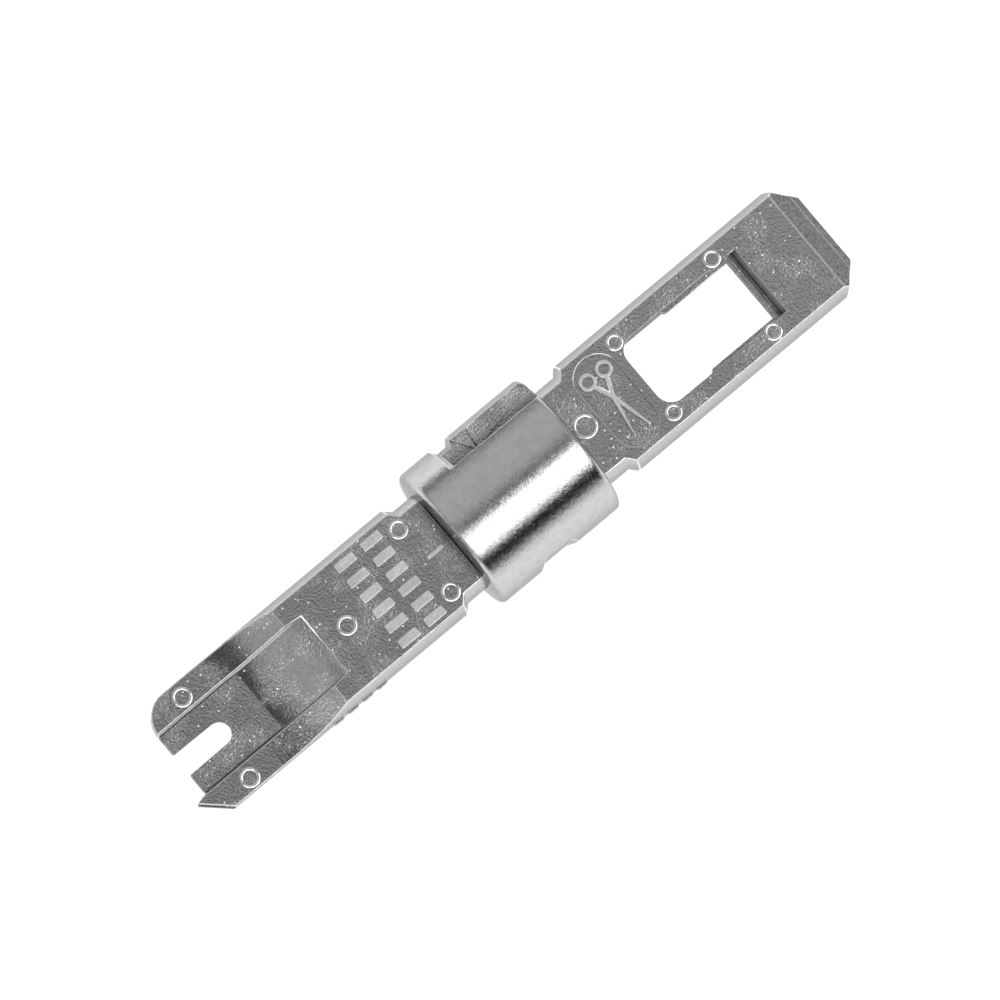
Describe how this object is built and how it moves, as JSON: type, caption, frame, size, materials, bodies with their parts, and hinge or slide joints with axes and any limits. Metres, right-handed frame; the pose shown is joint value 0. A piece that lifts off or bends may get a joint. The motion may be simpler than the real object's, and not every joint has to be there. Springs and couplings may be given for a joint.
{
  "type": "twist-lock punch down blade",
  "caption": "Reversible twist-lock punch down blade: 66 fork with channel and wire slot at one end, windowed 110 cutting tip at the other, bayonet collar between them.",
  "frame": {"origin": "centre of the bounding box, on the axis of the bayonet collar", "axes": "+X along the blade towards the 110 tip, +Y towards the guard side of the 66 fork, +Z out of the front face that carries the cut sign"},
  "size_m": [0.0644, 0.0124, 0.0124],
  "materials": {
    "cast_nickel": "nickel plated casting with a fine sandy texture",
    "turned_nickel": "nickel plated, turned and polished",
    "hardened_steel": "hardened and plated, satin",
    "spine_steel": "plain ground steel",
    "dowel_steel": "ground flush and plated with the casting"
  },
  "bodies": {
    "root": {"bayonet_collar": "turned_nickel", "front_cheek_66": "cast_nickel", "rear_cheek_66": "cast_nickel", "front_cheek_110": "cast_nickel", "rear_cheek_110": "cast_nickel", "fork_strip_66": "hardened_steel", "cutter_66": "hardened_steel", "cutter_110": "hardened_steel", "punch_shoe_110": "hardened_steel", "spine_tang": "spine_steel", "collar_pin_66": "dowel_steel", "collar_pin_110": "dowel_steel", "dowel_66_tip_guard": "dowel_steel", "dowel_66_tip_cutter": "dowel_steel", "dowel_66_root": "dowel_steel", "dowel_66_neck_left": "dowel_steel", "dowel_66_neck_right": "dowel_steel", "dowel_110_neck": "dowel_steel", "dowel_110_mid_left": "dowel_steel", "dowel_110_mid_right": "dowel_steel", "dowel_110_tip_left": "dowel_steel", "dowel_110_tip_right": "dowel_steel"}
  },
  "joints": []
}
